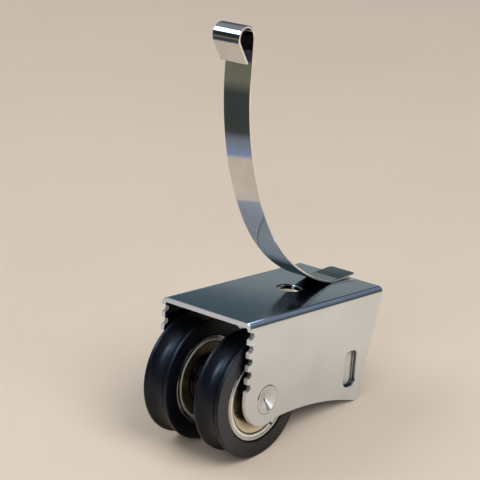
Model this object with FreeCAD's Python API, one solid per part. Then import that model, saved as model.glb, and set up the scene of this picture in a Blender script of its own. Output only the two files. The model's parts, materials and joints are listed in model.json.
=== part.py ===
import FreeCAD, Part
import math
import os

# Wardrobe door roller: a folded steel bracket carries two ball-bearing wheels on one riveted axle,
# and a leaf spring stands on its top plate.
# Frame: x runs from the toothed front to the rear, y from left to right, z up. The origin is on the
# floor under the middle of the axle. Pieces are drawn about the axle with the top plate level, and
# stand() then tips them rear down, until wheels and rear feet share the floor.
# Lengths are in millimetres and angles in degrees.

# Bracket: one folded sheet
sheet = 1.2                 # sheet thickness
bend_inside = 0.4           # inside radius of the two folds
bracket_width = 28.0        # across the outside of the flanges
plate_length = 51.2         # top plate, front to rear
axle_drop = 19.75           # axle below the top of the plate
axle_setback = 7.65         # axle behind the front edge

# Outline of each flange
ear_radius = 7.2
ear_rise = 0.75             # ear's centre above the axle
ear_blend = 3.0             # round between the ear and the arch
arch_radius = 84.0
arch_setback = 11.6         # arch's highest point behind the axle
arch_lift = 1.4             # arch's highest point above the lowest point of the ear
foot_setback = 36.0         # rear lower corner behind the axle
foot_round = 1.0
edge_round = 0.2            # rolled-over outer edge of the stamped sheet

# Teeth of the flange front edges
notch_count = 5
notch_land = 0.35           # straight edge between the fold and the first notch
notch_mouth = 1.8           # width at a notch's open end
notch_depth = 1.25
notch_round = 0.7           # radius at a notch's bottom
tooth_tip = 1.35            # width of a tooth at its tip

# Adjuster hole in the plate
hole_setback = 23.0         # hole behind the axle
hole_radius = 3.0
hole_lip = 0.35             # rolled-over upper rim

# Pressed recess in each flange
recess_inset = 6.25         # recess centre ahead of the rear edge
recess_rise = 0.6           # recess centre above the axle
recess_width = 4.8
recess_height = 9.2
recess_corner = 1.5
recess_depth = 1.0
recess_slope = 0.35         # run of the wall from rim to floor
recess_lip = 0.4            # rolled-over rim
recess_fillet = 0.25        # round at the floor

# Ball bearings
bore_radius = 4.0
ring_radius = 11.0          # outside of the outer ring
bearing_width = 7.0
ring_chamfer = 0.3
ball_radius = 1.95
ball_count = 7
race_gap = 0.1              # running gap between ball and race
shoulder_reach = 1.4        # shoulders of the rings, either side of the ball circle
seat_wall = 0.95            # outer ring beside the seat of shield and snap ring
seat_depth = 0.75
shield_sheet = 0.25
shield_step = 0.2           # shield face proud of its rim
shield_gap = 0.3            # running gap between shield and inner ring
snap_width = 0.7            # snap ring, across its section
snap_height = 0.4           # snap ring, along the axle
snap_split = 0.6            # gap between its ends
split_angle = -56.0         # where the split stands, about the axle
seat_gap = 0.02             # clearance of a seated ring
cage_wall = 1.6             # cage, inside to outside
cage_gap = 0.15             # cage to shield, and ball to pocket
cage_mouth = 1.0            # cage's open side past the ball centres

# Wheels
wheel_radius = 15.0
wheel_width = 7.4
flange_land = 0.9           # width of the two wheel flanges
groove_depth = 1.8
wheel_break = 0.35          # broken edges of the wheel flanges
wheel_chamfer = 0.25        # at the seat of the bearing

# Axle and spacers
tenon_radius = 3.6          # axle ends that are headed over in the ears
axle_fit = 0.02             # radial clearance on the axle
head_proud = 0.15           # headed ends beyond the flanges
head_chamfer = 0.2
dimple_radius = 3.0
dimple_depth = 1.1
washer_thickness = 1.3
washer_radius = 6.0
spacer_radius = 5.6

# Leaf spring: a bent strip, from its tail over its land on the plate up to its rolled eye
leaf_sheet = 0.6
leaf_width = 8.0
leaf_inset = 6.75           # middle of the land ahead of the plate's rear edge
leaf_land = 1.8
leaf_bend = 4.0             # radius of the two bends beside the land
tail_length = 6.7
tail_angle = 4.0
tail_round = 0.8
foot_angle = 12.0           # slope where the lower curve starts
turn_angle = 60.0           # slope where the upper curve starts
lower_radius = 42.5
upper_radius = 69.0
riser_length = 8.7
eye_radius = 2.55           # to the middle of the strip
lip_length = 5.3
lip_angle = 34.0            # lean of the lip back towards the strip

# Places worked out from the sizes above
top = axle_drop
front = -axle_setback
rear = plate_length - axle_setback
arch_drop = ear_radius - ear_rise - arch_lift
half_width = bracket_width / 2
half_inside = half_width - sheet
bend_outside = bend_inside + sheet
half_bearing = bearing_width / 2
bearing_place = half_inside - washer_thickness - half_bearing
leaf_setback = rear - leaf_inset
notch_start = bend_outside + notch_land + notch_mouth / 2
notch_pitch = notch_mouth + tooth_tip
pitch_radius = (bore_radius + ring_radius) / 2
inner_shoulder = pitch_radius - shoulder_reach
outer_shoulder = pitch_radius + shoulder_reach
shield_seat = ring_radius - seat_wall
race_radius = ball_radius + race_gap
seat_face = half_bearing - seat_depth
axle_radius = bore_radius - axle_fit
clear = 2.0                 # how far a cutting tool runs past the material
tiny = sheet / 100          # tolerance when picking edges


def vec(x, z, y=0.0):
    return FreeCAD.Vector(x, y, z)


def polar(centre, radius, angle):
    turn = math.radians(angle)
    return centre + vec(radius * math.cos(turn), radius * math.sin(turn))


def loop(start, steps):
    # Closed wire: a step is one point for a straight edge, or two for an arc through the first
    edges = []
    here = start
    for step in steps + [(start,)]:
        there = step[-1]
        if len(step) == 1:
            edges.append(Part.LineSegment(here, there).toShape())
        else:
            edges.append(Part.Arc(here, step[0], there).toShape())
        here = there
    return Part.Wire(edges)


def across(wire, width):
    # Prism of a wire in the xz plane, centred across y
    prism = Part.Face(wire).extrude(FreeCAD.Vector(0, width, 0))
    prism.translate(FreeCAD.Vector(0, -width / 2, 0))
    return prism


def block(x0, x1, y0, y1, z0, z1):
    return Part.makeBox(x1 - x0, y1 - y0, z1 - z0, FreeCAD.Vector(x0, y0, z0))


def turned(start, steps):
    # Solid turned about the axle line from (radius, y) points
    def point(pair):
        return FreeCAD.Vector(pair[0], pair[1], 0)

    wire = loop(point(start), [tuple(point(p) for p in step) for step in steps])
    return Part.Face(wire).revolve(FreeCAD.Vector(0, 0, 0), FreeCAD.Vector(0, 1, 0), 360)


def tube(inside, outside, y0, y1):
    return turned((inside, y0), [((outside, y0),), ((outside, y1),), ((inside, y1),)])


def rod(radius, length):
    # Cylinder along the axle, centred across y
    return Part.makeCylinder(radius, length, FreeCAD.Vector(0, -length / 2, 0), FreeCAD.Vector(0, 1, 0))


def crossing_edges(shape, place):
    # Edges that run across the bracket through a point of the side view
    found = []
    for edge in shape.Edges:
        ends = [v.Point for v in edge.Vertexes]
        if all(math.hypot(p.x - place.x, p.z - place.z) < tiny for p in ends):
            found.append(edge)
    return found


def arch_centre():
    return vec(arch_setback, -arch_drop - arch_radius)


def arch_point(x):
    centre = arch_centre()
    return vec(x, centre.z + math.sqrt(arch_radius ** 2 - (x - centre.x) ** 2))


def ear_centre():
    return vec(front + ear_radius, ear_rise)


def ear_end():
    # Point where the ear's circle runs into the arch, on the rear side
    ear = ear_centre()
    reach = arch_centre() - ear
    along = (ear_radius ** 2 - arch_radius ** 2 + reach.Length ** 2) / (2 * reach.Length)
    aside = math.sqrt(ear_radius ** 2 - along ** 2)
    reach.normalize()
    return ear + reach * along + vec(-reach.z, reach.x) * aside


def rear_edge():
    return vec(rear, top), arch_point(foot_setback)


def foot_centre():
    # Centre of the foot's round: its own radius from the rear edge and from the arch
    upper, lower = rear_edge()
    down = lower - upper
    down.normalize()
    inward = vec(down.z, -down.x)
    base = upper + inward * foot_round
    centre = arch_centre()
    middle = (centre - base).dot(down)
    offset = (base + down * middle - centre).Length
    return base + down * (middle - math.sqrt((arch_radius + foot_round) ** 2 - offset ** 2))


def rest_tilt():
    # Tip that brings the rear feet down to the floor that the wheels stand on
    foot = foot_centre()
    rise = math.asin((wheel_radius - foot_round) / math.hypot(foot.x, foot.z))
    return math.degrees(rise - math.atan2(-foot.z, foot.x))


def stand(shape):
    placed = shape.copy()
    turn = FreeCAD.Rotation(FreeCAD.Vector(0, 1, 0), rest_tilt())
    placed.Placement = FreeCAD.Placement(vec(0, wheel_radius), turn).multiply(placed.Placement)
    return placed


def flange_prism():
    # Side view of the bracket, as a prism through both flanges
    ear = ear_centre()
    meet = ear_end()
    meet_angle = math.degrees(math.atan2(meet.z - ear.z, meet.x - ear.x))
    upper, foot = rear_edge()
    steps = [
        (vec(front, ear_rise),),
        (polar(ear, ear_radius, (meet_angle - 180) / 2), meet),
        (arch_point((meet.x + foot.x) / 2), foot),
        (upper,),
    ]
    prism = across(loop(vec(front, top), steps), bracket_width)
    prism = prism.makeFillet(ear_blend, crossing_edges(prism, meet))
    return prism.makeFillet(foot_round, crossing_edges(prism, foot))


def long_edges(box, z):
    # The two edges along x at the given height
    found = []
    for edge in box.Edges:
        ends = [v.Point for v in edge.Vertexes]
        level = all(abs(p.z - z) < tiny for p in ends)
        if level and abs(ends[0].y - ends[1].y) < tiny:
            found.append(edge)
    return found


def channel():
    # The folded sheet, longer than the bracket at both ends and below
    x0 = front - clear
    x1 = plate_length
    low = -arch_drop - arch_radius
    outer = block(x0, x1, -half_width, half_width, low, top)
    outer = outer.makeFillet(bend_outside, long_edges(outer, top))
    inner = block(x0, x1, -half_inside, half_inside, low, top - sheet)
    inner = inner.makeFillet(bend_inside, long_edges(inner, top - sheet))
    return outer.cut(inner)


def notch(z):
    # Tapered cut with a round bottom, through both flange front edges
    centre = vec(front + notch_depth - notch_round, z)
    mouth = front - clear
    flare = (notch_mouth / 2 - notch_round) / (notch_depth - notch_round)
    half = notch_round + flare * (centre.x - mouth)
    steps = [
        (vec(centre.x, z - notch_round),),
        (vec(centre.x + notch_round, z), vec(centre.x, z + notch_round)),
        (vec(mouth, z + half),),
    ]
    return across(loop(vec(mouth, z - half), steps), bracket_width + 2 * clear)


def hole_cutter():
    # Hole through the plate with a rolled-over upper rim
    low = top - sheet - clear
    bend = hole_lip * (1 - math.sqrt(0.5))
    steps = [
        (vec(hole_radius, low),),
        (vec(hole_radius, top - hole_lip),),
        (vec(hole_radius + bend, top - bend), vec(hole_radius + hole_lip, top)),
        (vec(0, top),),
    ]
    face = Part.Face(loop(vec(0, low), steps))
    tool = face.revolve(vec(0, 0), vec(0, 1), 360)
    tool.translate(vec(hole_setback, 0))
    return tool


def rounded_window(width, height, corner, y):
    # Rectangle with round corners in the side view
    a = width / 2 - corner
    b = height / 2 - corner
    arcs = []
    for x, z, angle in ((a, b, 0), (-a, b, 90), (-a, -b, 180), (a, -b, 270)):
        centre = vec(x, z, y)
        arcs.append([polar(centre, corner, angle + turn) for turn in (0, 45, 90)])
    steps = [tuple(arcs[0][1:])]
    for arc in arcs[1:]:
        steps.append((arc[0],))
        steps.append(tuple(arc[1:]))
    return loop(arcs[0][0], steps)


def recess_centre():
    # At its own height, the given distance ahead of the rear edge
    upper, lower = rear_edge()
    share = (recess_rise - lower.z) / (upper.z - lower.z)
    return vec(lower.x + share * (upper.x - lower.x) - recess_inset, recess_rise)


def recess_loft(grow, y_rim, y_floor):
    # Tapered block of the recess, grown outward by the given amount
    corner = recess_corner + grow
    rim = rounded_window(recess_width + 2 * grow, recess_height + 2 * grow, corner, y_rim)
    shrink = 2 * recess_slope
    floor = rounded_window(
        recess_width + 2 * grow - shrink, recess_height + 2 * grow - shrink, corner - recess_slope, y_floor)
    body = Part.makeLoft([rim, floor], True, True)
    body.translate(recess_centre())
    return body


def window_edges(body, y):
    # Edges of a recess in the plane at y
    found = []
    place = recess_centre()
    for edge in body.Edges:
        box = edge.BoundBox
        level = box.YLength < tiny and abs(box.YMin - y) < tiny
        along = abs(box.Center.x - place.x) < recess_width / 2 + tiny
        upright = abs(box.Center.z - place.z) < recess_height / 2 + tiny
        if level and along and upright:
            found.append(edge)
    return found


def press_recess(body, side):
    # Pushes the sheet of one flange inward: a bump on the inside, then the recess from the outside
    outside = side * half_width
    inside = side * half_inside
    depth = side * recess_depth
    body = body.fuse(recess_loft(recess_slope, inside, inside - depth))
    body = body.cut(recess_loft(0.0, outside, outside - depth))
    body = body.makeFillet(recess_fillet, window_edges(body, outside - depth))
    return body.makeFillet(recess_lip, window_edges(body, outside))


def on_skin(point):
    # True on the outside of the folded sheet
    fold_y = half_width - bend_outside
    fold_z = top - bend_outside
    y = abs(point.y)
    if y > fold_y and point.z > fold_z:
        return abs(math.hypot(y - fold_y, point.z - fold_z) - bend_outside) < tiny
    return abs(y - half_width) < tiny or abs(point.z - top) < tiny


def skin_edges(body):
    # Cut edges round the outside of the sheet, without the fold lines and the holes
    found = []
    for edge in body.Edges:
        if edge.isClosed() or not all(on_skin(p) for p in edge.discretize(5)):
            continue
        box = edge.BoundBox
        straight = box.YLength < tiny and box.ZLength < tiny
        if not straight:
            found.append(edge)
    return found


def bracket():
    body = channel().common(flange_prism())
    for index in range(notch_count):
        body = body.cut(notch(top - notch_start - index * notch_pitch))
    body = body.cut(rod(tenon_radius + axle_fit, bracket_width + clear))
    body = body.cut(hole_cutter())
    body = body.makeFillet(edge_round, skin_edges(body))
    for side in (-1, 1):
        body = press_recess(body, side)
    return body


def axle_rivet():
    # Shouldered pin, headed over in both ears, with a cone dimple in each end
    end = half_width + head_proud
    half = [
        (dimple_radius, end),
        (tenon_radius - head_chamfer, end),
        (tenon_radius, end - head_chamfer),
        (tenon_radius, half_inside),
        (axle_radius, half_inside),
    ]
    steps = [((r, y),) for r, y in half]
    steps += [((r, -y),) for r, y in reversed(half)]
    steps.append(((0, dimple_depth - end),))
    return turned((0, end - dimple_depth), steps)


def inner_ring():
    groove = math.sqrt(race_radius ** 2 - (pitch_radius - inner_shoulder) ** 2)
    edge = half_bearing - ring_chamfer
    steps = [
        ((bore_radius, edge),),
        ((bore_radius + ring_chamfer, half_bearing),),
        ((inner_shoulder, half_bearing),),
        ((inner_shoulder, groove),),
        ((pitch_radius - race_radius, 0), (inner_shoulder, -groove)),
        ((inner_shoulder, -half_bearing),),
        ((bore_radius + ring_chamfer, -half_bearing),),
    ]
    return turned((bore_radius, -edge), steps)


def outer_ring():
    groove = math.sqrt(race_radius ** 2 - (outer_shoulder - pitch_radius) ** 2)
    edge = half_bearing - ring_chamfer
    steps = [
        ((ring_radius - ring_chamfer, -half_bearing),),
        ((ring_radius, -edge),),
        ((ring_radius, edge),),
        ((ring_radius - ring_chamfer, half_bearing),),
        ((shield_seat, half_bearing),),
        ((shield_seat, seat_face),),
        ((outer_shoulder, seat_face),),
        ((outer_shoulder, groove),),
        ((pitch_radius + race_radius, 0), (outer_shoulder, -groove)),
        ((outer_shoulder, -seat_face),),
        ((shield_seat, -seat_face),),
    ]
    return turned((shield_seat, -half_bearing), steps)


def shield():
    # Dished disc on the bearing's -y side: a rim in the seat and a face that stands a little proud of it
    rim = shield_seat - seat_gap
    foot = shield_seat - snap_width - shield_sheet
    inside = inner_shoulder + shield_gap
    low = -seat_face
    steps = [
        ((rim, low - shield_sheet),),
        ((foot, low - shield_sheet),),
        ((foot - shield_step, low - shield_sheet - shield_step),),
        ((inside, low - shield_sheet - shield_step),),
        ((inside, low - shield_step),),
        ((foot - shield_step, low - shield_step),),
        ((foot, low),),
    ]
    return turned((rim, low), steps)


def snap_ring():
    # Split ring that holds the shield on the bearing's -y side
    outside = shield_seat - seat_gap
    seat = -seat_face - shield_sheet
    ring = tube(outside - snap_width, outside, seat - snap_height, seat)
    split = block(0, ring_radius, -half_bearing, 0, -snap_split / 2, snap_split / 2)
    split.rotate(FreeCAD.Vector(0, 0, 0), FreeCAD.Vector(0, 1, 0), -split_angle)
    return ring.cut(split)


def ball_places():
    # Half a step round, so that no ball lies on the seam of the cage's ring
    step = 360.0 / ball_count
    return [polar(vec(0, 0), pitch_radius, (index + 0.5) * step) for index in range(ball_count)]


def balls():
    return Part.makeCompound([Part.makeSphere(ball_radius, place) for place in ball_places()])


def pocket(place):
    # Ball with its room in the cage; poles and seam are turned to where the cage has no wall
    mouth = FreeCAD.Vector(0, 1, 0)
    outward = FreeCAD.Vector(place)
    outward.normalize()
    ball = Part.makeSphere(ball_radius + cage_gap)
    ball.Placement = FreeCAD.Placement(place, FreeCAD.Rotation(mouth, outward.cross(mouth), outward, "XZY"))
    return ball


def cage():
    # Snap-in cage: a ring with a closed back and one open pocket for each ball
    back = -seat_face + cage_gap
    ring = tube(pitch_radius - cage_wall / 2, pitch_radius + cage_wall / 2, back, cage_mouth)
    for place in ball_places():
        ring = ring.cut(pocket(place))
    return ring


def wheel():
    # Moulded wheel with a concave tread between two narrow flanges
    half = wheel_width / 2
    seat = ring_radius + wheel_chamfer
    inner = half - wheel_chamfer
    groove = half - flange_land
    steps = [
        ((wheel_radius, -half),),
        ((wheel_radius, -groove),),
        ((wheel_radius - groove_depth, 0), (wheel_radius, groove)),
        ((wheel_radius, half),),
        ((seat, half),),
        ((ring_radius, inner),),
        ((ring_radius, -inner),),
    ]
    body = turned((seat, -half), steps)
    rims = [e for e in body.Edges if len(e.Vertexes) == 1 and abs(e.Curve.Radius - wheel_radius) < tiny]
    return body.makeChamfer(wheel_break, rims)


def washer():
    # On the -y side, between bearing and ear
    return tube(bore_radius, washer_radius, -half_inside, -half_inside + washer_thickness)


def centre_spacer():
    half = bearing_place - half_bearing
    return tube(bore_radius, spacer_radius, -half, half)


def strip_section(bends, thickness):
    # Section of a bent strip that starts at the origin along -x: a bend is (length,) or (radius, turn),
    # with turns to the left positive
    here = vec(0, 0)
    heading = 180.0
    sides = {1: [], -1: []}
    for bend in bends:
        aside = {s: polar(vec(0, 0), s * thickness / 2, heading + 90) for s in sides}
        if len(bend) == 1:
            there = polar(here, bend[0], heading)
            for s in sides:
                sides[s].append(Part.LineSegment(here + aside[s], there + aside[s]).toShape())
        else:
            radius, turn = bend
            way = math.copysign(1, turn)
            centre = polar(here, way * radius, heading + 90)
            start = heading - way * 90
            there = polar(centre, radius, start + turn)
            for s in sides:
                size = radius - s * way * thickness / 2
                points = [polar(centre, size, start + turn * part) for part in (0, 0.5, 1)]
                sides[s].append(Part.Arc(*points).toShape())
            heading += turn
        here = there
    first = [sides[s][0].firstVertex().Point for s in (1, -1)]
    last = [sides[s][-1].lastVertex().Point for s in (1, -1)]
    caps = [Part.LineSegment(*first).toShape(), Part.LineSegment(*last).toShape()]
    return Part.Wire(Part.__sortEdges__(sides[1] + sides[-1] + caps))


def is_tail_corner(edge):
    # Short edges through the strip's thickness at the tail end
    ends = [v.Point for v in edge.Vertexes]
    at_tail = all(abs(p.x) < tiny for p in ends)
    return at_tail and abs(edge.Length - leaf_sheet) < tiny


def leaf_spring():
    tail = [(tail_length,), (leaf_bend, -tail_angle)]
    rise = [
        (leaf_land,),
        (leaf_bend, -foot_angle),
        (lower_radius, foot_angle - turn_angle),
        (upper_radius, turn_angle - 90),
        (riser_length,),
        (eye_radius, 180 + lip_angle),
        (lip_length,),
    ]
    strip = across(strip_section(tail + rise, leaf_sheet), leaf_width)
    corners = [e for e in strip.Edges if is_tail_corner(e)]
    strip = strip.makeFillet(tail_round, corners)
    # The tail is drawn level, so the strip is tipped until its land lies flat
    strip.rotate(vec(0, 0), FreeCAD.Vector(0, 1, 0), -tail_angle)
    tip = math.radians(tail_angle)
    reach = tail_length * math.cos(tip) + leaf_bend * math.sin(tip)
    lift = tail_length * math.sin(tip) + leaf_bend * (1 - math.cos(tip))
    strip.translate(vec(leaf_setback + leaf_land / 2 + reach, top + leaf_sheet / 2 + lift))
    return strip


def bearing_side(shape, side):
    # Moves a bearing piece from the middle to its place; the right side is the left one turned about
    placed = shape.copy()
    if side > 0:
        placed.rotate(FreeCAD.Vector(0, 0, 0), FreeCAD.Vector(0, 0, 1), 180)
    placed.translate(FreeCAD.Vector(0, side * bearing_place, 0))
    return placed


def turned_about(shape):
    return shape.rotated(FreeCAD.Vector(0, 0, 0), FreeCAD.Vector(0, 0, 1), 180)


def pieces():
    found = {
        "bracket": bracket(),
        "axle_rivet": axle_rivet(),
        "centre_spacer": centre_spacer(),
        "left_washer": washer(),
        "right_washer": turned_about(washer()),
        "leaf_spring": leaf_spring(),
    }
    for name, side in (("left", -1), ("right", 1)):
        made = {
            "wheel": wheel(),
            "inner_ring": inner_ring(),
            "outer_ring": outer_ring(),
            "outer_shield": shield(),
            "inner_shield": turned_about(shield()),
            "outer_snap_ring": snap_ring(),
            "inner_snap_ring": turned_about(snap_ring()),
            "balls": balls(),
            "cage": cage(),
        }
        for piece, shape in made.items():
            found[name + "_" + piece] = bearing_side(shape, side)
    return found


def main():
    os.makedirs("parts", exist_ok=True)
    for name, shape in pieces().items():
        stand(shape).exportStep("parts/" + name + ".step")
    print("tilt", round(rest_tilt(), 4), "bearing place", bearing_place)


main()
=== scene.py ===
import json
import math

import bmesh
import bpy
from mathutils import Matrix, Quaternion, Vector


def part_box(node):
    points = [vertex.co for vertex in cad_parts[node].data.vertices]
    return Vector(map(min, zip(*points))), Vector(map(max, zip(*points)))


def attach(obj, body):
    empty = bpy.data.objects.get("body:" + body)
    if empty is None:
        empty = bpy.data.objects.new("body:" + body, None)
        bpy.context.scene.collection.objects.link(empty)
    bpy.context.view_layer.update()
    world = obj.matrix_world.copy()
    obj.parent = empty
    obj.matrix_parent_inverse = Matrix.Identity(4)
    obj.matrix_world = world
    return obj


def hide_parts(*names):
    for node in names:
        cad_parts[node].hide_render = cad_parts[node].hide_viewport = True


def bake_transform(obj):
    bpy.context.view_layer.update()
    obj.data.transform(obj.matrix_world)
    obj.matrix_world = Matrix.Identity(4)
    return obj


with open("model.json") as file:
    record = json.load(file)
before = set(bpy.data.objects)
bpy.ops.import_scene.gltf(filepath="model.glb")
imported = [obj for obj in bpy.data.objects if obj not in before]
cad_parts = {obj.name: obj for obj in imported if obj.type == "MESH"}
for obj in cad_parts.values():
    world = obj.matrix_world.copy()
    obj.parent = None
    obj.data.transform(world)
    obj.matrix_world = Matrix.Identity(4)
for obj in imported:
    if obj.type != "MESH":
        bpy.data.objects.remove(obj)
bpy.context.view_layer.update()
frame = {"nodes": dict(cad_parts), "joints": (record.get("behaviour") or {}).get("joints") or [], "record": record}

mm = 0.001
sides = ("left", "right")
plateTop = 19.75 * mm  # above the axle
record = frame["record"]

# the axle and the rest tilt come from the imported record
axle = Vector(next(j["pos_m"] for j in frame["joints"] if j["name"] == "left_wheel_spin"))
holeAxis = next(m["axis"] for m in record["mounts"] if m["name"] == "plate_hole")
restTilt = math.atan2(-holeAxis[0], -holeAxis[2])
# from the plate laid level, about the axle
fromPlate = Matrix.Translation(axle) @ Matrix.Rotation(restTilt, 4, "Y")


# node helpers

def newGroup(name, inputs, outputs):
    group = bpy.data.node_groups.new(name, "ShaderNodeTree")
    for label, kind, value in inputs:
        socket = group.interface.new_socket(label, in_out="INPUT", socket_type="NodeSocket" + kind)
        socket.default_value = value
    for label, kind in outputs:
        group.interface.new_socket(label, in_out="OUTPUT", socket_type="NodeSocket" + kind)
    return group, group.nodes.new("NodeGroupInput"), group.nodes.new("NodeGroupOutput")


def addNode(tree, kind, **values):
    node = tree.nodes.new("ShaderNode" + kind)
    for key, value in values.items():
        setattr(node, key, value)
    return node


def addMath(tree, operation, first, second=None):
    node = addNode(tree, "Math", operation=operation)
    for socket, value in zip(node.inputs, (first, second)):
        if value is None:
            continue
        if isinstance(value, (int, float)):
            socket.default_value = value
        else:
            tree.links.new(value, socket)
    return node.outputs[0]


def placeGroup(tree, group, **values):
    node = addNode(tree, "Group", node_tree=group)
    for label, value in values.items():
        node.inputs[label].default_value = value
    return node


# shared effects

effects = {
    "cloudDetail": 4.0,
    "cloudRough": 0.55,
    "cloudRange": (0.3, 0.7),      # part of the noise that is spread over the two levels
    "lineDetail": 3.0,
    "ringDetail": 2.0,
    "hollowRange": (0.93, 0.50),   # open share of the view, from none to full painted shade
    "hollowSamples": 8,
    "edgeSamples": 6,
}


def makeClouds():
    # soft patches between two levels
    group, start, end = newGroup(
        "softClouds",
        [("Scale", "Float", 200.0), ("Low", "Float", 0.0), ("High", "Float", 1.0)],
        [("Value", "Float")])
    place = addNode(group, "TexCoord")
    noise = addNode(group, "TexNoise")
    noise.inputs["Detail"].default_value = effects["cloudDetail"]
    noise.inputs["Roughness"].default_value = effects["cloudRough"]
    spread = addNode(group, "MapRange")
    spread.inputs["From Min"].default_value = effects["cloudRange"][0]
    spread.inputs["From Max"].default_value = effects["cloudRange"][1]
    group.links.new(place.outputs["Object"], noise.inputs["Vector"])
    group.links.new(start.outputs["Scale"], noise.inputs["Scale"])
    group.links.new(noise.outputs["Fac"], spread.inputs["Value"])
    group.links.new(start.outputs["Low"], spread.inputs["To Min"])
    group.links.new(start.outputs["High"], spread.inputs["To Max"])
    group.links.new(spread.outputs["Result"], end.inputs["Value"])
    return group


def makeDrawLines():
    # fine lines left by rolling, close together along one axis and long along the others
    group, start, end = newGroup(
        "drawLines", [("Spread", "Vector", (1.0, 1.0, 1.0))], [("Height", "Float")])
    place = addNode(group, "TexCoord")
    stretch = addNode(group, "VectorMath", operation="MULTIPLY")
    noise = addNode(group, "TexNoise")
    noise.inputs["Scale"].default_value = 1.0
    noise.inputs["Detail"].default_value = effects["lineDetail"]
    group.links.new(place.outputs["Object"], stretch.inputs[0])
    group.links.new(start.outputs["Spread"], stretch.inputs[1])
    group.links.new(stretch.outputs["Vector"], noise.inputs["Vector"])
    group.links.new(noise.outputs["Fac"], end.inputs["Height"])
    return group


def makeTurnedRings():
    # concentric marks of turning or grinding about the axle
    group, start, end = newGroup(
        "turnedRings",
        [("Centre", "Vector", tuple(axle)), ("Pitch", "Float", 0.2 * mm)],
        [("Height", "Float")])
    place = addNode(group, "TexCoord")
    offset = addNode(group, "VectorMath", operation="SUBTRACT")
    flatten = addNode(group, "VectorMath", operation="MULTIPLY")
    flatten.inputs[1].default_value = (1.0, 0.0, 1.0)
    length = addNode(group, "VectorMath", operation="LENGTH")
    group.links.new(place.outputs["Object"], offset.inputs[0])
    group.links.new(start.outputs["Centre"], offset.inputs[1])
    group.links.new(offset.outputs["Vector"], flatten.inputs[0])
    group.links.new(flatten.outputs["Vector"], length.inputs[0])
    count = addMath(group, "DIVIDE", length.outputs["Value"], start.outputs["Pitch"])
    noise = addNode(group, "TexNoise", noise_dimensions="1D")
    noise.inputs["Scale"].default_value = 1.0
    noise.inputs["Detail"].default_value = effects["ringDetail"]
    group.links.new(count, noise.inputs["W"])
    group.links.new(noise.outputs["Fac"], end.inputs["Height"])
    return group


def makeHollows(name, ownMeshOnly):
    # painted shade: a darker colour where a surface faces other surfaces within reach
    group, start, end = newGroup(name, [("Reach", "Float", 1.5 * mm)], [("Mask", "Float")])
    facing = addNode(
        group, "AmbientOcclusion", samples=effects["hollowSamples"], only_local=ownMeshOnly)
    group.links.new(start.outputs["Reach"], facing.inputs["Distance"])
    spread = addNode(group, "MapRange")
    spread.inputs["From Min"].default_value = effects["hollowRange"][0]
    spread.inputs["From Max"].default_value = effects["hollowRange"][1]
    group.links.new(facing.outputs["AO"], spread.inputs["Value"])
    group.links.new(spread.outputs["Result"], end.inputs["Mask"])
    return group


sheared = {
    "sheet": 1.2 * mm,
    "slack": 0.5 * mm,        # below the sheet, still counted as plate
    "flatLevel": 0.5,         # how squarely a face of the plate looks up or down
    "edgeLevel": 0.2,         # how far an edge may turn sideways
    "holeReach": 4.2 * mm,    # keeps the punched hole out
    "grain": 2600.0,          # per metre
    "grainDetail": 4.0,
}


def makeShearedEdges():
    # torn faces left by the press round the edge of the sheet
    group, start, end = newGroup(
        "shearedEdges",
        [("Grain", "Float", sheared["grain"])],
        [("Mask", "Float"), ("Height", "Float")])
    plateUp = fromPlate.to_3x3() @ Vector((0.0, 0.0, 1.0))
    holePlace = Vector(next(m["pos_m"] for m in record["mounts"] if m["name"] == "plate_hole"))
    place = addNode(group, "TexCoord")

    def along(vector, axis):
        dot = addNode(group, "VectorMath", operation="DOT_PRODUCT")
        dot.inputs[1].default_value = axis
        group.links.new(vector, dot.inputs[0])
        return dot.outputs["Value"]

    def offset(origin):
        minus = addNode(group, "VectorMath", operation="SUBTRACT")
        minus.inputs[1].default_value = origin
        group.links.new(place.outputs["Object"], minus.inputs[0])
        return minus.outputs["Vector"]

    sideways = addMath(group, "ABSOLUTE", along(place.outputs["Normal"], (0.0, 1.0, 0.0)))
    upright = addMath(group, "ABSOLUTE", along(place.outputs["Normal"], plateUp))
    height = along(offset(axle), plateUp)
    flat = addMath(group, "GREATER_THAN", upright, sheared["flatLevel"])
    raised = addMath(group, "GREATER_THAN", height, plateTop - sheared["sheet"] - sheared["slack"])
    onPlate = addMath(group, "MULTIPLY", flat, raised)
    apart = addNode(group, "VectorMath", operation="CROSS_PRODUCT")
    apart.inputs[1].default_value = plateUp
    group.links.new(offset(holePlace), apart.inputs[0])
    span = addNode(group, "VectorMath", operation="LENGTH")
    group.links.new(apart.outputs["Vector"], span.inputs[0])
    clearOfHole = addMath(group, "GREATER_THAN", span.outputs["Value"], sheared["holeReach"])
    edge = addMath(group, "LESS_THAN", sideways, sheared["edgeLevel"])
    edge = addMath(group, "MULTIPLY", edge, addMath(group, "SUBTRACT", 1.0, onPlate))
    edge = addMath(group, "MULTIPLY", edge, clearOfHole)
    noise = addNode(group, "TexNoise")
    noise.inputs["Detail"].default_value = sheared["grainDetail"]
    group.links.new(place.outputs["Object"], noise.inputs["Vector"])
    group.links.new(start.outputs["Grain"], noise.inputs["Scale"])
    group.links.new(edge, end.inputs["Mask"])
    group.links.new(addMath(group, "MULTIPLY", edge, noise.outputs["Fac"]), end.inputs["Height"])
    return group


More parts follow.
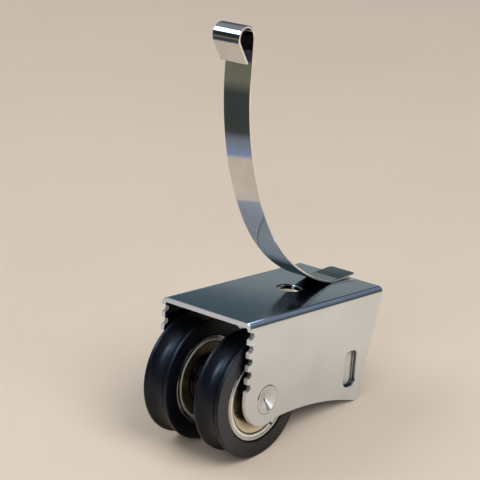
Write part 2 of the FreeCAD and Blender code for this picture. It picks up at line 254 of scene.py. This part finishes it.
def makeSideFaces():
    # flat faces that look outward along the axle
    group, start, end = newGroup("sideFaces", [("Level", "Float", 0.9)], [("Mask", "Float")])
    place = addNode(group, "TexCoord")
    split = addNode(group, "SeparateXYZ")
    group.links.new(place.outputs["Normal"], split.inputs["Vector"])
    spot = addNode(group, "SeparateXYZ")
    group.links.new(place.outputs["Object"], spot.inputs["Vector"])
    outward = addMath(group, "SIGN", spot.outputs["Y"])
    facing = addMath(group, "MULTIPLY", split.outputs["Y"], outward)
    outside = addMath(group, "GREATER_THAN", facing, start.outputs["Level"])
    group.links.new(outside, end.inputs["Mask"])
    return group


def makeLowPart():
    # fades in below a height
    group, start, end = newGroup(
        "lowPart",
        [("Top", "Float", 50.0 * mm), ("Full", "Float", 40.0 * mm)],
        [("Mask", "Float")])
    place = addNode(group, "TexCoord")
    split = addNode(group, "SeparateXYZ")
    spread = addNode(group, "MapRange")
    group.links.new(place.outputs["Object"], split.inputs["Vector"])
    group.links.new(split.outputs["Z"], spread.inputs["Value"])
    group.links.new(start.outputs["Top"], spread.inputs["From Min"])
    group.links.new(start.outputs["Full"], spread.inputs["From Max"])
    group.links.new(spread.outputs["Result"], end.inputs["Mask"])
    return group


softClouds = makeClouds()
drawLines = makeDrawLines()
turnedRings = makeTurnedRings()
hollowPaintedShade = makeHollows("hollowPaintedShade", True)
gapGrime = makeHollows("gapGrime", False)
shearedEdges = makeShearedEdges()
sideFaces = makeSideFaces()
lowPart = makeLowPart()


def startMaterial(name, metallic):
    material = bpy.data.materials.new(name)
    material.use_nodes = True
    tree = material.node_tree
    shader = tree.nodes["Principled BSDF"]
    shader.inputs["Metallic"].default_value = metallic
    return material, tree, shader


def addTint(tree, shader, scale, first, second):
    # base colour in soft patches
    tint = placeGroup(tree, softClouds, Scale=scale)
    mix = addNode(tree, "Mix", data_type="RGBA")
    mix.inputs["A"].default_value = (*first, 1.0)
    mix.inputs["B"].default_value = (*second, 1.0)
    tree.links.new(tint.outputs["Value"], mix.inputs["Factor"])
    tree.links.new(mix.outputs["Result"], shader.inputs["Base Color"])


def addRough(tree, shader, scale, low, high):
    rough = placeGroup(tree, softClouds, Scale=scale, Low=low, High=high)
    tree.links.new(rough.outputs["Value"], shader.inputs["Roughness"])


def coverColour(tree, shader, mask, colour):
    # lays one more colour over what the shader already has
    base = shader.inputs["Base Color"].links[0].from_socket
    mix = addNode(tree, "Mix", data_type="RGBA")
    mix.inputs["B"].default_value = (*colour, 1.0)
    tree.links.new(mask, mix.inputs["Factor"])
    tree.links.new(base, mix.inputs["A"])
    tree.links.new(mix.outputs["Result"], shader.inputs["Base Color"])


def softenEdges(tree, radius):
    # small broken edges, too fine for the mesh
    edge = addNode(tree, "Bevel", samples=effects["edgeSamples"])
    edge.inputs["Radius"].default_value = radius
    return edge


def addBump(tree, shader, height, depth, under=None):
    bump = addNode(tree, "Bump")
    bump.inputs["Strength"].default_value = 1.0
    bump.inputs["Distance"].default_value = depth
    tree.links.new(height, bump.inputs["Height"])
    if under is not None:
        tree.links.new(under.outputs["Normal"], bump.inputs["Normal"])
    tree.links.new(bump.outputs["Normal"], shader.inputs["Normal"])
    return bump


# finishes

nickel = {
    "bright": (0.82, 0.88, 0.935),
    "dull": (0.755, 0.81, 0.86),
    "tintScale": 90.0,     # per metre, as are the other scales
    "inside": (0.12, 0.118, 0.115),
    "insideReach": 22.0 * mm,
    "paintedShade": (0.07, 0.066, 0.06),
    "paintedShadeReach": 1.4 * mm,
    "torn": (0.97, 0.965, 0.95),
    "tornDull": 0.40,      # how far the torn faces lose their mirror
    "tornReach": 3.0 * mm,  # of the shade on them
    "tornDepth": 0.08 * mm,
    "edgeRound": 0.12 * mm,
    "roughLow": 0.12,
    "roughHigh": 0.15,
    "roughScale": 420.0,
    "waves": 60.0,
    "waveDepth": 4e-6,     # metres
    "lineSpread": (60.0, 2600.0, 2600.0),
    "lineDepth": 7e-7,
}


def makeNickel():
    material, tree, shader = startMaterial("brightNickel", 1.0)
    addTint(tree, shader, nickel["tintScale"], nickel["bright"], nickel["dull"])
    # painted shade over the channel's inner faces
    inside = placeGroup(tree, hollowPaintedShade, Reach=nickel["insideReach"])
    coverColour(tree, shader, inside.outputs["Mask"], nickel["inside"])
    torn = placeGroup(tree, shearedEdges)
    coverColour(tree, shader, torn.outputs["Mask"], nickel["torn"])
    # painted shade in the recess and other tight spots of the bracket
    paintedShade = placeGroup(tree, hollowPaintedShade, Reach=nickel["paintedShadeReach"])
    coverColour(tree, shader, paintedShade.outputs["Mask"], nickel["paintedShade"])
    # painted shade on the notches and on the edge beside the wheel
    shade = placeGroup(tree, gapGrime, Reach=nickel["tornReach"])
    notches = addMath(tree, "MULTIPLY", torn.outputs["Mask"], shade.outputs["Mask"])
    coverColour(tree, shader, notches, nickel["paintedShade"])
    mirror = addMath(tree, "MULTIPLY", torn.outputs["Mask"], nickel["tornDull"])
    tree.links.new(addMath(tree, "SUBTRACT", 1.0, mirror), shader.inputs["Metallic"])
    addRough(tree, shader, nickel["roughScale"], nickel["roughLow"], nickel["roughHigh"])
    waves = placeGroup(tree, softClouds, Scale=nickel["waves"])
    lines = placeGroup(tree, drawLines, Spread=nickel["lineSpread"])
    edge = softenEdges(tree, nickel["edgeRound"])
    under = addBump(tree, shader, waves.outputs["Value"], nickel["waveDepth"], edge)
    under = addBump(tree, shader, lines.outputs["Height"], nickel["lineDepth"], under)
    addBump(tree, shader, torn.outputs["Height"], nickel["tornDepth"], under)
    return material


spring = {
    "pale": (0.665, 0.66, 0.645),
    "dark": (0.565, 0.56, 0.545),
    "tintScale": 160.0,
    "hollowShade": (0.15, 0.12, 0.125),
    "hollowShadeReach": 5.5 * mm,
    "hollowShadePower": 3.0,        # keeps the painted shade within the eye
    "gap": (0.055, 0.054, 0.064),
    "gapReach": 10.0 * mm,
    "gapTop": 52.0 * mm,       # above the floor, so the painted shade stays on the foot
    "gapFull": 44.0 * mm,
    "slit": (0.93, 0.92, 0.895),
    "slitLevel": 0.6,          # how squarely an edge faces sideways
    "roughLow": 0.05,
    "roughHigh": 0.10,
    "roughScale": 330.0,
    "lineSpread": (70.0, 3800.0, 70.0),
    "lineDepth": 1.1e-6,
}


def makeSpringSteel():
    material, tree, shader = startMaterial("polishedSpringSteel", 1.0)
    addTint(tree, shader, spring["tintScale"], spring["pale"], spring["dark"])
    # painted shade within the eye
    hollowShade = placeGroup(tree, hollowPaintedShade, Reach=spring["hollowShadeReach"])
    insideEye = addMath(tree, "POWER", hollowShade.outputs["Mask"], spring["hollowShadePower"])
    coverColour(tree, shader, insideEye, spring["hollowShade"])
    # painted shade near the foot, where the strip faces the plate
    gap = placeGroup(tree, gapGrime, Reach=spring["gapReach"])
    foot = placeGroup(tree, lowPart, Top=spring["gapTop"], Full=spring["gapFull"])
    nearFoot = addMath(tree, "MULTIPLY", gap.outputs["Mask"], foot.outputs["Mask"])
    coverColour(tree, shader, nearFoot, spring["gap"])
    slit = placeGroup(tree, sideFaces, Level=spring["slitLevel"])
    coverColour(tree, shader, slit.outputs["Mask"], spring["slit"])
    addRough(tree, shader, spring["roughScale"], spring["roughLow"], spring["roughHigh"])
    lines = placeGroup(tree, drawLines, Spread=spring["lineSpread"])
    addBump(tree, shader, lines.outputs["Height"], spring["lineDepth"])
    return material


plastic = {
    "black": (0.0022, 0.0034, 0.0080),
    "grey": (0.0055, 0.0075, 0.0140),
    "tintScale": 210.0,
    "side": (0.036, 0.038, 0.039),   # painted light: lighter than the tread
    "sideLevel": 0.9,                # how squarely a face looks sideways
    "gap": (0.002, 0.002, 0.0024),
    "gapReach": 12.0 * mm,
    "gloss": 0.26,
    "roughLow": 0.29,
    "roughHigh": 0.37,
    "roughScale": 700.0,
    "grain": 5200.0,
    "grainDepth": 2.2e-6,
}


def makeWheelPlastic():
    material, tree, shader = startMaterial("satinBlackMoulding", 0.0)
    addTint(tree, shader, plastic["tintScale"], plastic["black"], plastic["grey"])
    # painted light: the outward side faces are coloured lighter
    side = placeGroup(tree, sideFaces, Level=plastic["sideLevel"])
    coverColour(tree, shader, side.outputs["Mask"], plastic["side"])
    # painted shade on the faces that look at the other wheel
    gap = placeGroup(tree, gapGrime, Reach=plastic["gapReach"])
    coverColour(tree, shader, gap.outputs["Mask"], plastic["gap"])
    shader.inputs["Specular IOR Level"].default_value = plastic["gloss"]
    addRough(tree, shader, plastic["roughScale"], plastic["roughLow"], plastic["roughHigh"])
    grain = placeGroup(tree, softClouds, Scale=plastic["grain"])
    addBump(tree, shader, grain.outputs["Value"], plastic["grainDepth"])
    return material


turnedFinishes = {
    "groundBearingSteel": {
        "pale": (0.78, 0.80, 0.815), "dark": (0.67, 0.69, 0.70),
        "rough": (0.10, 0.22), "pitch": 0.16 * mm, "depth": 1.0e-6,
        "paintedShade": (0.07, 0.066, 0.06), "paintedShadeReach": 6.0 * mm},
    "brightWire": {
        "pale": (0.90, 0.885, 0.83), "dark": (0.80, 0.785, 0.73), "metal": 0.55,
        "rough": (0.12, 0.22), "pitch": 0.12 * mm, "depth": 8.0e-7},
    "headedRivetSteel": {
        "pale": (0.82, 0.845, 0.88), "dark": (0.71, 0.735, 0.77),
        "rough": (0.10, 0.20), "pitch": 0.22 * mm, "depth": 1.6e-6,
        "paintedShade": (0.05, 0.05, 0.055), "paintedShadeReach": 0.8 * mm},
    "turnedSpacerSteel": {
        "pale": (0.66, 0.60, 0.47), "dark": (0.50, 0.44, 0.33),
        "rough": (0.18, 0.32), "pitch": 0.26 * mm, "depth": 2.0e-6,
        "paintedShade": (0.05, 0.043, 0.03), "paintedShadeReach": 9.0 * mm},
    "yellowPlatedSheet": {
        "pale": (0.97, 0.89, 0.68), "dark": (0.90, 0.80, 0.57),
        "rough": (0.16, 0.30), "pitch": 0.35 * mm, "depth": 1.2e-6,
        "paintedShade": (0.045, 0.036, 0.018), "paintedShadeReach": 3.2 * mm},
    # a darker copy of the yellow sheet for the inner shields: painted shade between the wheels
    "shadedYellowSheet": {
        "pale": (0.62, 0.52, 0.32), "dark": (0.52, 0.43, 0.25),
        "rough": (0.28, 0.40), "pitch": 0.35 * mm, "depth": 1.2e-6,
        "paintedShade": (0.030, 0.024, 0.013), "paintedShadeReach": 9.0 * mm},
    "naturalCagePlastic": {
        "pale": (0.72, 0.68, 0.58), "dark": (0.62, 0.58, 0.48), "metal": 0.0,
        "rough": (0.40, 0.55), "pitch": 0.40 * mm, "depth": 1.5e-6},
}

turned = {
    "edge": 0.16 * mm,
    "tintScale": 380.0,
    "roughScale": 620.0,
}


def makeTurned(name):
    look = turnedFinishes[name]
    material, tree, shader = startMaterial(name, look.get("metal", 1.0))
    addTint(tree, shader, turned["tintScale"], look["pale"], look["dark"])
    addRough(tree, shader, turned["roughScale"], *look["rough"])
    # painted shade where a part faces others nearby
    if "paintedShade" in look:
        gaps = placeGroup(tree, gapGrime, Reach=look["paintedShadeReach"])
        coverColour(tree, shader, gaps.outputs["Mask"], look["paintedShade"])
    rings = placeGroup(tree, turnedRings, Pitch=look["pitch"])
    edge = softenEdges(tree, turned["edge"])
    addBump(tree, shader, rings.outputs["Height"], look["depth"], edge)
    return material


finishes = {name: makeTurned(name) for name in turnedFinishes}
finishes["brightNickel"] = makeNickel()
finishes["polishedSpringSteel"] = makeSpringSteel()
finishes["satinBlackMoulding"] = makeWheelPlastic()

nodeFinishes = {
    "bracket": "brightNickel",
    "axle_rivet": "headedRivetSteel",
    "centre_spacer": "turnedSpacerSteel",
    "leaf_spring": "polishedSpringSteel",
    "wheel": "satinBlackMoulding",
    "washer": "headedRivetSteel",
    "inner_ring": "groundBearingSteel",
    "outer_ring": "groundBearingSteel",
    "outer_shield": "yellowPlatedSheet",
    "inner_shield": "shadedYellowSheet",
    "outer_snap_ring": "brightWire",
    "inner_snap_ring": "brightWire",
    "balls": "groundBearingSteel",
    "cage": "naturalCagePlastic",
}


def dressNodes():
    for name, node in frame["nodes"].items():
        kind = name
        for side in sides:
            kind = kind.removeprefix(side + "_")
        finish = finishes[nodeFinishes[kind]]
        for slot in node.material_slots:
            slot.material = finish


dressNodes()
print("finishes: %d" % len(finishes))


# mesh helpers

def arcPoints(centre, radius, first, last, count):
    points = []
    for step in range(count + 1):
        angle = math.radians(first + (last - first) * step / count)
        across = centre[0] + radius * math.cos(angle)
        points.append((across, centre[1] + radius * math.sin(angle)))
    return points


def softenCorner(before, corner, after, size, count):
    # short curve in place of a corner, tangent to both sides
    here = Vector(corner)
    start = here + (Vector(before) - here).normalized() * size
    end = here + (Vector(after) - here).normalized() * size
    points = []
    for step in range(count + 1):
        t = step / count
        points.append(tuple(start * (1 - t) ** 2 + here * 2 * t * (1 - t) + end * t ** 2))
    return points


def finishMesh(name, bm, sharpAngle):
    mesh = bpy.data.meshes.new(name)
    bmesh.ops.recalc_face_normals(bm, faces=bm.faces)
    for face in bm.faces:
        face.smooth = True
    bm.to_mesh(mesh)
    bm.free()
    mesh.set_sharp_from_angle(angle=math.radians(sharpAngle))
    piece = bpy.data.objects.new(name, mesh)
    bpy.context.scene.collection.objects.link(piece)
    return piece


# wheels: moulded rings with a concave tread

wheelLook = {
    "flangeLand": 0.9 * mm,
    "grooveDepth": 1.8 * mm,
    "rimRound": 0.38 * mm,
    "crestRound": 0.30 * mm,
    "seatChamfer": 0.25 * mm,
    "segments": 144,
    "grooveSteps": 18,
    "roundSteps": 5,
    "sharpAngle": 32.0,
}


def wheelProfile(radius, seat, half):
    # (radius, along the axle) points round the section
    look = wheelLook
    groove = half - look["flangeLand"]
    depth = look["grooveDepth"]
    bend = (groove ** 2 + depth ** 2) / (2 * depth)
    reach = math.degrees(math.asin(groove / bend))
    middle = (radius - depth + bend, 0.0)
    tread = arcPoints(middle, bend, 180 + reach, 180 - reach, look["grooveSteps"])
    near = (radius, -groove)
    far = (radius, groove)
    chamfer = look["seatChamfer"]
    steps = look["roundSteps"]
    points = [(seat + chamfer, -half)]
    points += softenCorner(points[0], (radius, -half), near, look["rimRound"], steps)
    points += softenCorner((radius, -half), near, tread[1], look["crestRound"], steps)
    points += tread[2:-2]
    points += softenCorner(tread[-2], far, (radius, half), look["crestRound"], steps)
    points += softenCorner(far, (radius, half), (seat + chamfer, half), look["rimRound"], steps)
    points += [(seat + chamfer, half), (seat, half - chamfer), (seat, chamfer - half)]
    return points


def turnProfile(bm, points, middle, segments):
    rings = []
    for step in range(segments):
        turn = 2 * math.pi * step / segments
        ring = []
        for radius, along in points:
            x = axle.x + radius * math.cos(turn)
            z = axle.z + radius * math.sin(turn)
            ring.append(bm.verts.new((x, middle + along, z)))
        rings.append(ring)
    count = len(points)
    for step, ring in enumerate(rings):
        other = rings[(step + 1) % segments]
        for place in range(count):
            after = (place + 1) % count
            bm.faces.new((ring[place], ring[after], other[after], other[place]))


def makeWheel(side):
    low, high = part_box(side + "_wheel")
    ringLow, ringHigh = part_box(side + "_outer_ring")
    radius = (high.z - low.z) / 2
    seat = (ringHigh.z - ringLow.z) / 2
    half = (high.y - low.y) / 2
    middle = (low.y + high.y) / 2
    bm = bmesh.new()
    turnProfile(bm, wheelProfile(radius, seat, half), middle, wheelLook["segments"])
    piece = finishMesh(side + "_grooved_wheel", bm, wheelLook["sharpAngle"])
    piece.data.materials.append(finishes["satinBlackMoulding"])
    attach(piece, side + "_wheel")
    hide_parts(side + "_wheel")
    return piece


wheels = [makeWheel(side) for side in sides]
print("wheels: %d faces each" % len(wheels[0].data.polygons))


# leaf spring: a polished strip with softened edges, bent in one piece

leaf = {
    "landSetback": 36.8 * mm,  # behind the axle
    "sheet": 0.6 * mm,
    "width": 8.0 * mm,
    "edgeRound": 0.2 * mm,
    "edgeSteps": 4,
    "flatStart": 0.08 * mm,    # from the rounded edge, where the mirror turns flat
    "tailLength": 6.7 * mm,
    "tailAngle": 4.0,          # degrees, as are the other angles
    "tailRound": 0.8 * mm,
    "tailSteps": 6,
    "tailClear": 1.05,         # times the round, where the usual stations begin
    "landLength": 1.8 * mm,
    "footBend": 4.0 * mm,
    "footAngle": 12.0,
    "turnAngle": 60.0,
    "lowerRadius": 42.5 * mm,
    "upperRadius": 69.0 * mm,
    "riserLength": 8.7 * mm,
    "eyeRadius": 2.55 * mm,
    "lipAngle": 34.0,
    "lipLength": 5.3 * mm,
    "bendAhead": 24.4 * mm,    # end of the bending length, ahead of the land
    "bendRise": 13.4 * mm,     # and above the plate
    "spacing": 0.5 * mm,       # between sections
    "turnSpacing": 4.0,
    "sharpAngle": 40.0,
}


def leafPath():
    # (x, z, heading) stations from the tail to the lip, plate level, about the axle
    bends = [
        (leaf["tailLength"], 0.0),
        (leaf["footBend"], -leaf["tailAngle"]),
        (leaf["landLength"], 0.0),
        (leaf["footBend"], -leaf["footAngle"]),
        (leaf["lowerRadius"], leaf["footAngle"] - leaf["turnAngle"]),
        (leaf["upperRadius"], leaf["turnAngle"] - 90.0),
        (leaf["riserLength"], 0.0),
        (leaf["eyeRadius"], 180.0 + leaf["lipAngle"]),
        (leaf["lipLength"], 0.0),
    ]
    landRow = 2  # the flat that is welded down
    heading = 180.0 + leaf["tailAngle"]
    x = 0.0
    z = 0.0
    stations = [(x, z, heading)]
    landStart = None
    for number, (size, turn) in enumerate(bends):
        if number == landRow:
            landStart = (x, z)
        length = size if turn == 0.0 else size * math.radians(abs(turn))
        byLength = math.ceil(length / leaf["spacing"])
        byTurn = math.ceil(abs(turn) / leaf["turnSpacing"])
        count = max(2, byLength, byTurn)
        for step in range(count):
            middle = math.radians(heading + turn * (step + 0.5) / count)
            part = length / count
            if turn:
                half = math.radians(turn / count) / 2
                part *= math.sin(half) / half
            x += part * math.cos(middle)
            z += part * math.sin(middle)
            stations.append((x, z, heading + turn * (step + 1) / count))
        heading += turn
    dx = leaf["landSetback"] + leaf["landLength"] / 2 - landStart[0]
    dz = plateTop + leaf["sheet"] / 2 - landStart[1]
    return [(px + dx, pz + dz, angle) for px, pz, angle in stations]


def tailStations(stations):
    # closer stations over the rounded corners of the tail
    x, z, heading = stations[0]
    turn = math.radians(heading)
    size = leaf["tailRound"]
    close = []
    for step in range(leaf["tailSteps"] + 1):
        angle = math.radians(90.0 * step / leaf["tailSteps"])
        along = size * (1 - math.cos(angle))
        narrow = size * (1 - math.sin(angle))
        close.append((x + along * math.cos(turn), z + along * math.sin(turn), heading, narrow))
    start = Vector((x, z))
    clear = size * leaf["tailClear"]
    rest = [s for s in stations if (Vector(s[:2]) - start).length > clear]
    return close + [(*s, 0.0) for s in rest]


def stripSection(half):
    # rounded rectangle: (across the width, through the thickness)
    thick = leaf["sheet"]
    bend = leaf["edgeRound"]
    points = []
    for sy, sz, first in ((1, 1, 0), (-1, 1, 90), (-1, -1, 180), (1, -1, 270)):
        centre = (sy * (half - bend), sz * (thick / 2 - bend))
        corner = arcPoints(centre, bend, first, first + 90, leaf["edgeSteps"])
        flat = (sy * (half - bend - leaf["flatStart"]), sz * thick / 2)
        points += corner + [flat] if sy == sz else [flat] + corner
    return points


def makeLeaf():
    bm = bmesh.new()
    rings = []
    for x, z, heading, narrow in tailStations(leafPath()):
        turn = math.radians(heading + 90)
        ring = []
        for across, through in stripSection(leaf["width"] / 2 - narrow):
            spot = Vector((x + through * math.cos(turn), across, z + through * math.sin(turn)))
            ring.append(bm.verts.new(fromPlate @ spot))
        rings.append(ring)
    count = len(rings[0])
    for ring, other in zip(rings, rings[1:]):
        for place in range(count):
            after = (place + 1) % count
            bm.faces.new((ring[place], ring[after], other[after], other[place]))
    bm.faces.new(rings[0])
    bm.faces.new(rings[-1])
    piece = finishMesh("leaf_strip", bm, leaf["sharpAngle"])
    piece.data.materials.append(finishes["polishedSpringSteel"])
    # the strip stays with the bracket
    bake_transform(piece)
    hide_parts("leaf_spring")
    return piece


leafStrip = makeLeaf()
print("leaf spring: %d faces" % len(leafStrip.data.polygons))


# stage

stageLook = {
    "floorSize": 16.0,
    "floorCells": 8,
    "floorColour": (0.73, 0.63, 0.525),
    "floorPatch": (0.70, 0.60, 0.495),
    "floorScale": 9.0,
    "floorRough": 0.7,
    "floorGloss": 0.2,
    "cardBase": (0.01, 0.01, 0.01),
    "sharpAngle": 30.0,
}


def makeFloor():
    look = stageLook
    cells = look["floorCells"]
    bm = bmesh.new()
    bmesh.ops.create_grid(bm, x_segments=cells, y_segments=cells, size=look["floorSize"] / 2)
    floor = finishMesh("floor", bm, look["sharpAngle"])
    material, tree, shader = startMaterial("paleFloor", 0.0)
    addTint(tree, shader, look["floorScale"], look["floorColour"], look["floorPatch"])
    shader.inputs["Roughness"].default_value = look["floorRough"]
    shader.inputs["Specular IOR Level"].default_value = look["floorGloss"]
    floor.data.materials.append(material)


makeFloor()

lamps = {
    "leftSoftbox": {"place": (-0.12, -0.70, 0.76), "size": (0.6, 0.6), "watts": 7.2,
                    "colour": (1.0, 0.985, 0.96), "onMatt": True, "inMetal": False},
    "rightFill": {"place": (-0.10, 0.70, 0.70), "size": (0.8, 0.6), "watts": 3.6,
                  "colour": (1.0, 0.96, 0.90), "onMatt": True, "inMetal": False},
    "frontFill": {"place": (-0.62, -0.22, 0.42), "size": (0.5, 0.4), "watts": 1.5,
                  "colour": (1.0, 0.98, 0.95), "onMatt": True, "inMetal": False},
    "rightKey": {"place": (-0.27, 0.60, 0.62), "size": (0.50, 0.32), "watts": 2.8,
                 "colour": (0.52, 0.75, 1.0), "onMatt": False, "inMetal": True,
                 "lights": ("leaf_strip", "left_grooved_wheel", "right_grooved_wheel")},
    "topFront": {"place": (-0.47, 0.18, 0.75), "size": (0.50, 0.40), "watts": 8.0,
                 "colour": (0.50, 0.72, 1.0), "onMatt": False, "inMetal": True},
    "lowLeft": {"place": (0.24, -0.85, 0.12), "size": (0.45, 0.32), "watts": 0.6,
                "colour": (1.0, 0.99, 0.98), "onMatt": True, "inMetal": True},
}
lampTarget = Vector((0.015, 0.0, 0.03))


def makeLamps():
    for name, look in lamps.items():
        light = bpy.data.lights.new(name, "AREA")
        light.shape = "RECTANGLE"
        light.size, light.size_y = look["size"]
        light.energy = look["watts"]
        light.color = look["colour"]
        lamp = bpy.data.objects.new(name, light)
        lamp.location = look["place"]
        lamp.visible_diffuse = look["onMatt"]
        lamp.visible_glossy = look["inMetal"]
        aim = lampTarget - lamp.location
        lamp.rotation_euler = aim.to_track_quat("-Z", "Y").to_euler()
        if "lights" in look:   # only these pieces
            lit = bpy.data.collections.new(name + "Lit")
            for piece in look["lights"]:
                lit.objects.link(bpy.data.objects[piece])
            lamp.light_linking.receiver_collection = lit
        bpy.context.scene.collection.objects.link(lamp)


makeLamps()

# glowing cards that show only in the metal, painted reflections: one in front, one behind, and one lying beside
# the right wheel
cards = {
    "frontCard": {
        "corners": ((-0.056, 0.115, 0.0), (-0.146, 0.021, 0.0),
                    (-0.146, 0.021, 0.175), (-0.056, 0.115, 0.175)),
        "along": "Z",
        "stops": [
            (0.00, (0.26, 0.37, 0.66)),
            (0.05, (0.26, 0.31, 0.43)),
            (0.11, (0.23, 0.255, 0.32)),
            (0.16, (0.050, 0.060, 0.056)),
            (0.39, (0.042, 0.052, 0.050)),
            (0.46, (0.19, 0.195, 0.145)),
            (0.55, (0.19, 0.195, 0.145)),
            (0.61, (0.030, 0.033, 0.030)),
            (1.00, (0.010, 0.012, 0.012)),
        ]},
    "rearCard": {
        "corners": ((0.146, 0.027, 0.0), (0.072, 0.121, 0.0),
                    (0.072, 0.121, 0.10), (0.146, 0.027, 0.10)),
        "along": "Z",
        "stops": [
            (0.00, (0.17, 0.20, 0.205)),
            (0.46, (0.20, 0.23, 0.235)),
            (0.51, (0.030, 0.058, 0.070)),
            (1.00, (0.030, 0.050, 0.058)),
        ]},
    "rightCard": {
        "corners": ((-0.027, 0.043, 0.0005), (0.026, 0.031, 0.0005),
                    (0.026, 0.046, 0.0005), (-0.016, 0.060, 0.0005)),
        "along": "X",
        "stops": [
            (0.00, (0.36, 0.41, 0.51)),
            (0.40, (0.29, 0.32, 0.40)),
            (1.00, (0.24, 0.25, 0.31)),
        ]},
}


def fillRamp(ramp, stops):
    elements = ramp.color_ramp.elements
    while len(elements) < len(stops):
        elements.new(0.5)
    for element, (position, colour) in zip(elements, stops):
        element.position = position
        element.color = (*colour, 1.0)


def makeCard(name):
    look = cards[name]
    bm = bmesh.new()
    bm.faces.new([bm.verts.new(corner) for corner in look["corners"]])
    piece = finishMesh(name, bm, stageLook["sharpAngle"])
    material, tree, shader = startMaterial(name + "ReflectionGlow", 0.0)
    place = addNode(tree, "TexCoord")
    split = addNode(tree, "SeparateXYZ")
    ramp = addNode(tree, "ValToRGB")
    fillRamp(ramp, look["stops"])
    tree.links.new(place.outputs["Generated"], split.inputs["Vector"])
    tree.links.new(split.outputs[look["along"]], ramp.inputs["Fac"])
    tree.links.new(ramp.outputs["Color"], shader.inputs["Emission Color"])
    shader.inputs["Emission Strength"].default_value = 1.0
    shader.inputs["Base Color"].default_value = (*stageLook["cardBase"], 1.0)
    shader.inputs["Roughness"].default_value = 1.0
    piece.data.materials.append(material)
    piece.visible_camera = False
    piece.visible_diffuse = False
    piece.visible_shadow = False


for name in cards:
    makeCard(name)

sky = {
    "stops": [
        (0.00, (0.045, 0.050, 0.055)),
        (0.50, (0.110, 0.135, 0.140)),
        (0.545, (0.085, 0.110, 0.115)),
        (0.566, (0.034, 0.053, 0.058)),
        (0.62, (0.075, 0.090, 0.092)),
        (0.72, (0.15, 0.18, 0.25)),
        (0.85, (0.32, 0.345, 0.39)),
        (1.00, (0.55, 0.55, 0.56)),
    ],
    "frontLevel": 0.35,         # the side towards the front is dimmer
    "frontSpan": (-0.7, 0.3),   # of the direction's X, from full dimming to none
}


def makeSky():
    world = bpy.data.worlds.new("studioSky")
    bpy.context.scene.world = world
    world.use_nodes = True
    tree = world.node_tree
    place = addNode(tree, "TexCoord")
    split = addNode(tree, "SeparateXYZ")
    ramp = addNode(tree, "ValToRGB")
    fillRamp(ramp, sky["stops"])
    level = addMath(tree, "MULTIPLY_ADD", split.outputs["Z"], 0.5)   # from -1..1 to 0..1
    level.node.inputs[2].default_value = 0.5
    tree.links.new(place.outputs["Generated"], split.inputs["Vector"])
    tree.links.new(level, ramp.inputs["Fac"])
    dim = addNode(tree, "MapRange")
    dim.inputs["From Min"].default_value = sky["frontSpan"][0]
    dim.inputs["From Max"].default_value = sky["frontSpan"][1]
    dim.inputs["To Min"].default_value = sky["frontLevel"]
    shade = addNode(tree, "VectorMath", operation="SCALE")
    tree.links.new(split.outputs["X"], dim.inputs["Value"])
    tree.links.new(ramp.outputs["Color"], shade.inputs[0])
    tree.links.new(dim.outputs["Result"], shade.inputs["Scale"])
    tree.links.new(shade.outputs["Vector"], tree.nodes["Background"].inputs["Color"])


makeSky()
print("stage: floor, %d cards and %d lamps" % (len(cards), len(lamps)))


# camera at the picture's own angle

cameraLook = {
    "eye": (-0.27078, -0.25194, 0.20952),
    "aim": (0.00623, -0.00283, 0.05067),
    "roll": -3.36,     # degrees
    "lens": 131.0,     # mm
    "sensor": 36.0,    # mm
    "clipStart": 0.01,
}


def makeCamera():
    data = bpy.data.cameras.new("pictureCamera")
    data.lens = cameraLook["lens"]
    data.sensor_width = cameraLook["sensor"]
    data.clip_start = cameraLook["clipStart"]
    camera = bpy.data.objects.new("pictureCamera", data)
    camera.location = cameraLook["eye"]
    look = Vector(cameraLook["aim"]) - camera.location
    level = look.to_track_quat("-Z", "Y")
    roll = Quaternion((0.0, 0.0, 1.0), math.radians(cameraLook["roll"]))
    camera.rotation_euler = (level @ roll).to_euler()
    bpy.context.scene.collection.objects.link(camera)
    bpy.context.scene.camera = camera


makeCamera()
bpy.context.scene.view_settings.view_transform = "Standard"
